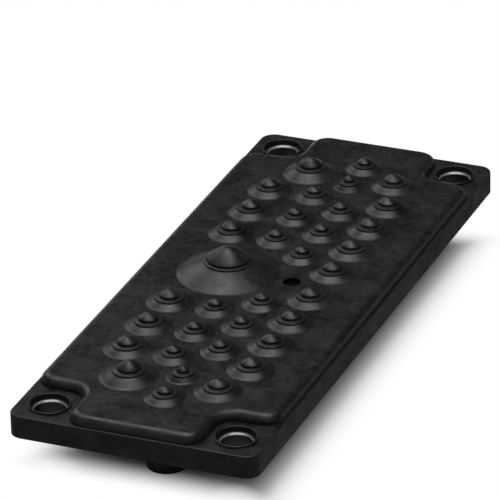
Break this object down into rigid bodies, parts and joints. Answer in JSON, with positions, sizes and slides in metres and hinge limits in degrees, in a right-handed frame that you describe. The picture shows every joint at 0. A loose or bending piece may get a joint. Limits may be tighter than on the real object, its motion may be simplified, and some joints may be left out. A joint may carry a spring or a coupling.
{
  "type": "cable entry plate",
  "caption": "Oblong moulded plate with rows of hollow stepped membranes that cables pierce, and a metal-lined screw hole in each recessed corner, for sealing cables into an enclosure wall.",
  "frame": {"origin": "centre of the four screw holes, on the back face that lies on the panel", "axes": "+Z out of the panel, towards the membranes' tips; +Y along the plate, away from the viewer of the picture; +X across it, to the viewer's right"},
  "size_m": [0.053, 0.1376, 0.0209],
  "materials": {
    "moulding": "matt moulded elastomer, black",
    "bushing": "plain turned, satin"
  },
  "bodies": {
    "root": {"entry_plate": "moulding", "bushing_front_left": "bushing", "bushing_front_right": "bushing", "bushing_rear_left": "bushing", "bushing_rear_right": "bushing"}
  },
  "joints": []
}
